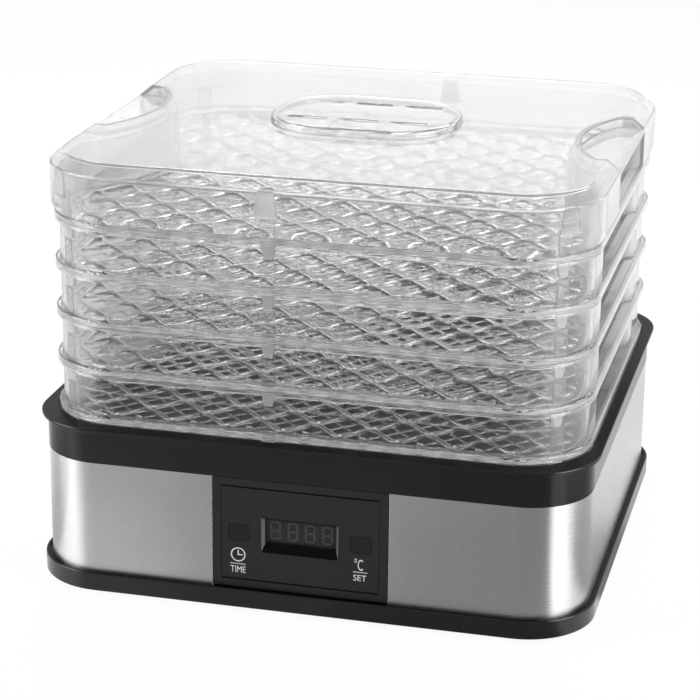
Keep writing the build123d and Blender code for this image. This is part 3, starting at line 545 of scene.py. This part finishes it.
def addDigits():
    low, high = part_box("display_digits")
    middle = (low[2] + high[2]) / 2
    wide, tall = digitSet["size"]
    halfBar = digitSet["bar"] / 2
    across, down = wide - digitSet["bar"], (tall - digitSet["bar"]) / 2
    bars = [(0, k * down, across, 0) for k in (-1, 0, 1)]
    bars += [(i * across / 2, k * down / 2, down, 90) for i in (-1, 1) for k in (-1, 1)]
    bm = bmesh.new()
    for digit in range(digitSet["count"]):
        for x, z, long, turn in bars:
            # a six-sided bar with pointed ends, drawn flat and then stood up
            bar = bmesh.ops.create_circle(bm, cap_ends=True, segments=6,
                                          radius=halfBar / math.cos(math.radians(30)))
            verts = bar["verts"]
            bmesh.ops.rotate(bm, cent=(0, 0, 0), matrix=Matrix.Rotation(math.radians(30), 3, "Z"), verts=verts)
            stretch = long / 2 - digitSet["gap"] - max(v.co.x for v in verts)
            for v in verts:
                v.co.x += math.copysign(stretch, v.co.x)
            bmesh.ops.rotate(bm, cent=(0, 0, 0), matrix=Matrix.Rotation(math.radians(turn), 3, "Z"), verts=verts)
            along = (digit - (digitSet["count"] - 1) / 2) * digitSet["pitch"]
            bmesh.ops.translate(bm, vec=(along + x, z, 0), verts=verts)
    front = bmesh.ops.extrude_face_region(bm, geom=bm.faces[:])
    bmesh.ops.translate(bm, vec=(0, 0, digitSet["thick"]),
                        verts=[v for v in front["geom"] if isinstance(v, bmesh.types.BMVert)])
    bmesh.ops.transform(bm, matrix=Matrix.Shear("XZ", 4, (digitSet["slant"], 0))
                        @ Matrix.Rotation(math.pi / 2, 4, "X"), verts=bm.verts)
    bmesh.ops.translate(bm, vec=(0, high[1], middle), verts=bm.verts)
    bmesh.ops.recalc_face_normals(bm, faces=bm.faces)
    bars = newObject("bars", bm)
    addPiece("displayBars", applied(bars), "base", finishes["unlit_bars"], ("display_digits",))
    print("display bars")


printSet = {
    "time": {"word": "TIME", "word box": (-42.2, -33.0, 23.5, 27.6), "rule": (-42.3, -33.0, 29.1)},
    "set": {"word": "SET", "word box": (32.5, 40.4, 26.6, 30.4), "rule": (32.3, 41.0, 32.1),
            "sign": "°C", "sign box": (33.2, 38.3, 33.2, 40.6)},
    "clock": {"at": (-37.5, 35.0), "radius": 4.5, "line": 0.7, "hands": (2.9, 2.7), "split": 0.02},
    "stroke": 0.4, "face": -156.0, "proud": 0.06,
}


def flatWord(bm, word, box):
    # a word as a flat mesh, fitted to a box on the panel in millimetres
    text = bpy.data.curves.new(word, "FONT")
    text.body = word
    text.size = 1.0
    text.extrude = 0.0
    text.resolution_u = 4
    drawn = bpy.data.objects.new(word, text)
    scene.collection.objects.link(drawn)
    mesh = applied(drawn)
    left, right = (f(v.co.x for v in mesh.vertices) for f in (min, max))
    low, high = (f(v.co.y for v in mesh.vertices) for f in (min, max))
    scaleX = (box[1] - box[0]) / (right - left)
    scaleY = (box[3] - box[2]) / (high - low)
    mesh.transform(Matrix.Translation((box[0], box[2], 0)) @ Matrix.Diagonal((scaleX, scaleY, 1, 1))
                   @ Matrix.Translation((-left, -low, 0)))
    bm.from_mesh(mesh)
    bpy.data.meshes.remove(mesh)


def flatBar(bm, x0, x1, y0, y1):
    made = bmesh.ops.create_grid(bm, x_segments=1, y_segments=1, size=0.5)
    bmesh.ops.scale(bm, vec=(x1 - x0, y1 - y0, 1), verts=made["verts"])
    bmesh.ops.translate(bm, vec=((x0 + x1) / 2, (y0 + y1) / 2, 0), verts=made["verts"])


def addPrint(name, draw):
    # flat drawing in millimetres, thickened and stood on the panel
    bm = bmesh.new()
    draw(bm)
    bmesh.ops.remove_doubles(bm, verts=bm.verts, dist=0.001)
    for face in bm.faces:
        if face.normal.z < 0:
            face.normal_flip()
    raised = bmesh.ops.extrude_face_region(bm, geom=bm.faces[:])
    bmesh.ops.translate(bm, vec=(0, 0, printSet["proud"]),
                        verts=[v for v in raised["geom"] if isinstance(v, bmesh.types.BMVert)])
    bmesh.ops.recalc_face_normals(bm, faces=bm.faces)
    bmesh.ops.transform(bm, matrix=Matrix.Scale(mm, 4) @ Matrix.Translation((0, printSet["face"], 0))
                        @ Matrix.Rotation(math.pi / 2, 4, "X"), verts=bm.verts)
    addPiece(name, applied(newObject(name, bm)), "base", printWhite)


def drawTime(bm):
    clock = printSet["clock"]
    x, y = clock["at"]
    disc = bmesh.ops.create_circle(bm, cap_ends=True, segments=40, radius=clock["radius"])
    bmesh.ops.translate(bm, vec=(x, y, 0), verts=disc["verts"])
    bmesh.ops.inset_individual(bm, faces=bm.faces[:], thickness=clock["line"])
    middle = [f for f in bm.faces if len(f.verts) > 4]
    bmesh.ops.delete(bm, geom=middle, context="FACES_ONLY")
    half = clock["line"] / 2
    minute, hour = clock["hands"]
    flatBar(bm, x - half, x + half, y - half, y + minute)
    flatBar(bm, x + half + clock["split"], x + hour, y - half, y + half)
    drawLabel(bm, "time")


def drawSet(bm):
    drawLabel(bm, "set")
    flatWord(bm, printSet["set"]["sign"], printSet["set"]["sign box"])


def drawLabel(bm, which):
    label = printSet[which]
    left, right, level = label["rule"]
    flatBar(bm, left, right, level - printSet["stroke"] / 2, level + printSet["stroke"] / 2)
    flatWord(bm, label["word"], label["word box"])


cameraSet = {"azimuth": 13.72, "elevation": 19.019, "roll": 0.633, "lens": 124.07, "distance": 1.53327,
             "aside": -0.008764, "height": 0.114185}


def addCamera():
    turn = math.radians(cameraSet["azimuth"])
    rise = math.radians(cameraSet["elevation"])
    roll = math.radians(cameraSet["roll"])
    back = Vector((math.sin(turn) * math.cos(rise), -math.cos(turn) * math.cos(rise), math.sin(rise)))
    level = Vector((math.cos(turn), math.sin(turn), 0))
    steep = back.cross(level)
    right = math.cos(roll) * level + math.sin(roll) * steep
    up = math.cos(roll) * steep - math.sin(roll) * level
    target = level * cameraSet["aside"] + Vector((0, 0, cameraSet["height"]))
    lens = bpy.data.cameras.new("camera")
    lens.lens = cameraSet["lens"]
    lens.sensor_width = 36.0
    lens.clip_start = 0.05
    lens.clip_end = 50.0
    camera = bpy.data.objects.new("camera", lens)
    scene.collection.objects.link(camera)
    place = Matrix((right, up, back)).transposed().to_4x4()
    place.translation = target + back * cameraSet["distance"]
    camera.matrix_world = place
    scene.camera = camera


# azimuth 0 is straight in front, and positive goes to the right
lampSet = {
    "leftStrip": {"azimuth": -65.0, "away": 1.3, "height": 0.72, "aim": 0.72, "size": (0.78, 1.4), "power": 12.0},
    "rightStrip": {"azimuth": 72.0, "away": 1.3, "height": 0.72, "aim": 0.72, "size": (0.8, 1.4), "power": 16.0},
    "topBox": {"azimuth": 180.0, "away": 0.2, "height": 1.8, "aim": 0.0, "size": (1.3, 1.3), "power": 3.0},
    "backBox": {"azimuth": 180.0, "away": 1.0, "height": 1.1, "aim": 0.15, "size": (1.5, 0.35), "power": 15.0},
    "glint": {"azimuth": -150.0, "away": 0.9, "height": 1.3, "aim": 0.0, "size": (0.16, 0.16), "power": 4.0},
}
# what shiny surfaces see all round, from behind on the left to behind on the right: far off, on the near floor,
# and on the floor further out
roundSet = {
    "far": [(-180, 0.95), (-120, 0.8), (-88, 0.5), (-80, 1.0), (-50, 1.0), (-46, 0.44), (-25, 0.34), (5, 0.17),
            (48, 0.15), (54, 1.0), (88, 1.0), (96, 0.45), (125, 0.5), (145, 1.0), (180, 0.95)],
    "near": [(-180, 0.95), (-100, 0.9), (-72, 0.36), (-58, 0.36), (-55, 1.0), (-43, 1.0), (-40, 0.46), (-31, 0.42),
             (-25, 0.34), (-21, 0.27), (-16, 0.25), (1, 0.27), (6, 0.2), (11, 0.165), (20, 0.14), (46, 0.13),
             (49, 1.0), (61, 1.0), (65, 0.2), (92, 0.2), (106, 0.47), (130, 0.62), (180, 0.85)],
    "out": [(-180, 1.0), (-120, 0.95), (-88, 0.7), (-80, 1.0), (-50, 1.0), (-46, 0.42), (-25, 0.29), (5, 0.18),
            (11, 0.14), (20, 0.11), (46, 0.1), (50, 1.0), (180, 1.0)],
    "fade": (0.2, 0.42, 1.3, 0.74), "nearEnds": (0.36, 0.54),
}
lightSet = {"soft": 0.35, "above": 0.4, "aboveFrom": 0.45, "aboveTo": 0.8, "floorSeen": 0.95, "floorShine": 0.85}


def surround(f, x, y, which):
    # level of the studio by azimuth
    turn = f.node("ShaderNodeMath", {"operation": "ARCTAN2"}, {0: x, 1: 0 - y})
    stops = [(0.5 + angle / 360, level) for angle, level in roundSet[which]]
    return f.node("ShaderNodeValToRGB", {"stops": stops}, {0: turn * (0.5 / math.pi) + 0.5})


def rays(f, name):
    return f.node("ShaderNodeLightPath", out=name)


def seenStraight(f):
    # by the camera, or through clear plastic
    return rays(f, "Is Camera Ray").calc("MAXIMUM", rays(f, "Is Camera Ray"), rays(f, "Is Transmission Ray"))


def addLights():
    for name, lamp in lampSet.items():
        data = bpy.data.lights.new(name, "AREA")
        data.shape = "RECTANGLE"
        data.size, data.size_y = lamp["size"]
        data.energy = lamp["power"]
        box = bpy.data.objects.new(name, data)
        turn = math.radians(lamp["azimuth"])
        box.location = (lamp["away"] * math.sin(turn), -lamp["away"] * math.cos(turn), lamp["height"])
        aim = Vector((0, 0, lamp["aim"])) - box.location
        box.rotation_euler = aim.to_track_quat("-Z", "Y").to_euler()
        scene.collection.objects.link(box)
    w = Finish(bpy.data.worlds.new("studio"))
    scene.world = w.owner
    where = w.node("ShaderNodeTexCoord", out="Generated")
    x, y, z = (w.node("ShaderNodeSeparateXYZ", {}, {0: where}, axis) for axis in "XYZ")
    high = w.node("ShaderNodeMapRange", {}, {0: z, 1: lightSet["aboveFrom"], 2: lightSet["aboveTo"],
                                             3: 0.0, 4: 1.0})
    shiny = w.node("ShaderNodeMix", {"data_type": "FLOAT"}, {0: high, 2: surround(w, x, y, "far"),
                                                            3: lightSet["above"]})
    level = w.node("ShaderNodeMix", {"data_type": "FLOAT"}, {0: rays(w, "Is Glossy Ray"), 2: lightSet["soft"],
                                                            3: shiny})
    level = w.node("ShaderNodeMix", {"data_type": "FLOAT"}, {0: seenStraight(w), 2: level, 3: 1.0})
    sky = w.node("ShaderNodeBackground", {}, {"Color": (1, 1, 1, 1), "Strength": level})
    w.node("ShaderNodeOutputWorld", {}, {"Surface": sky})


def addFloor():
    bm = bmesh.new()
    bmesh.ops.create_grid(bm, x_segments=1, y_segments=1, size=4.0)
    floor = newObject("floor", bm)
    f = newFinish("paleFloor")
    mottle = f.noise(3.0, 2.0)
    matt = f.node("ShaderNodeBsdfDiffuse", {}, {"Color": f.between(mottle, (0.93, 0.93, 0.93), (0.95, 0.95, 0.95))})
    white = f.node("ShaderNodeEmission", {}, {"Color": (1, 1, 1, 1), "Strength": 1.0})
    where = f.place()
    x, y = (f.node("ShaderNodeSeparateXYZ", {}, {0: where}, axis) for axis in "XY")
    reach = f.node("ShaderNodeVectorMath", {"operation": "LENGTH"}, {0: where}, "Value")
    start, end, close, off = roundSet["fade"]
    fade = f.node("ShaderNodeMapRange", {}, {0: reach, 1: start, 2: end, 3: close, 4: off})
    start, end = roundSet["nearEnds"]
    out = f.node("ShaderNodeMapRange", {}, {0: reach, 1: start, 2: end, 3: 0.0, 4: 1.0})
    around = f.node("ShaderNodeMix", {"data_type": "FLOAT"}, {0: out, 2: surround(f, x, y, "near") * fade,
                                                             3: surround(f, x, y, "out")})
    shiny = f.node("ShaderNodeEmission", {}, {"Color": around.calc("MINIMUM", around, 1.0), "Strength": 1.0})
    plain = f.node("ShaderNodeMixShader", {}, {0: seenStraight(f) * lightSet["floorSeen"], 1: matt, 2: white})
    both = f.node("ShaderNodeMixShader", {}, {0: rays(f, "Is Glossy Ray") * lightSet["floorShine"], 1: plain,
                                              2: shiny})
    f.node("ShaderNodeOutputMaterial", {}, {"Surface": both})
    floor.data.materials.append(f.owner)


softenClear()
softenFront()
addNets()
addSteps()
addDigits()
addPrint("timePrint", drawTime)
addPrint("setPrint", drawSet)
print("panel print")
addCamera()
addLights()
addFloor()
scene.view_settings.view_transform = "Standard"
scene.cycles.max_bounces = 40
scene.cycles.transmission_bounces = 40
scene.cycles.transparent_max_bounces = 40
scene.cycles.sample_clamp_indirect = 6.0
print("camera, lights and floor")
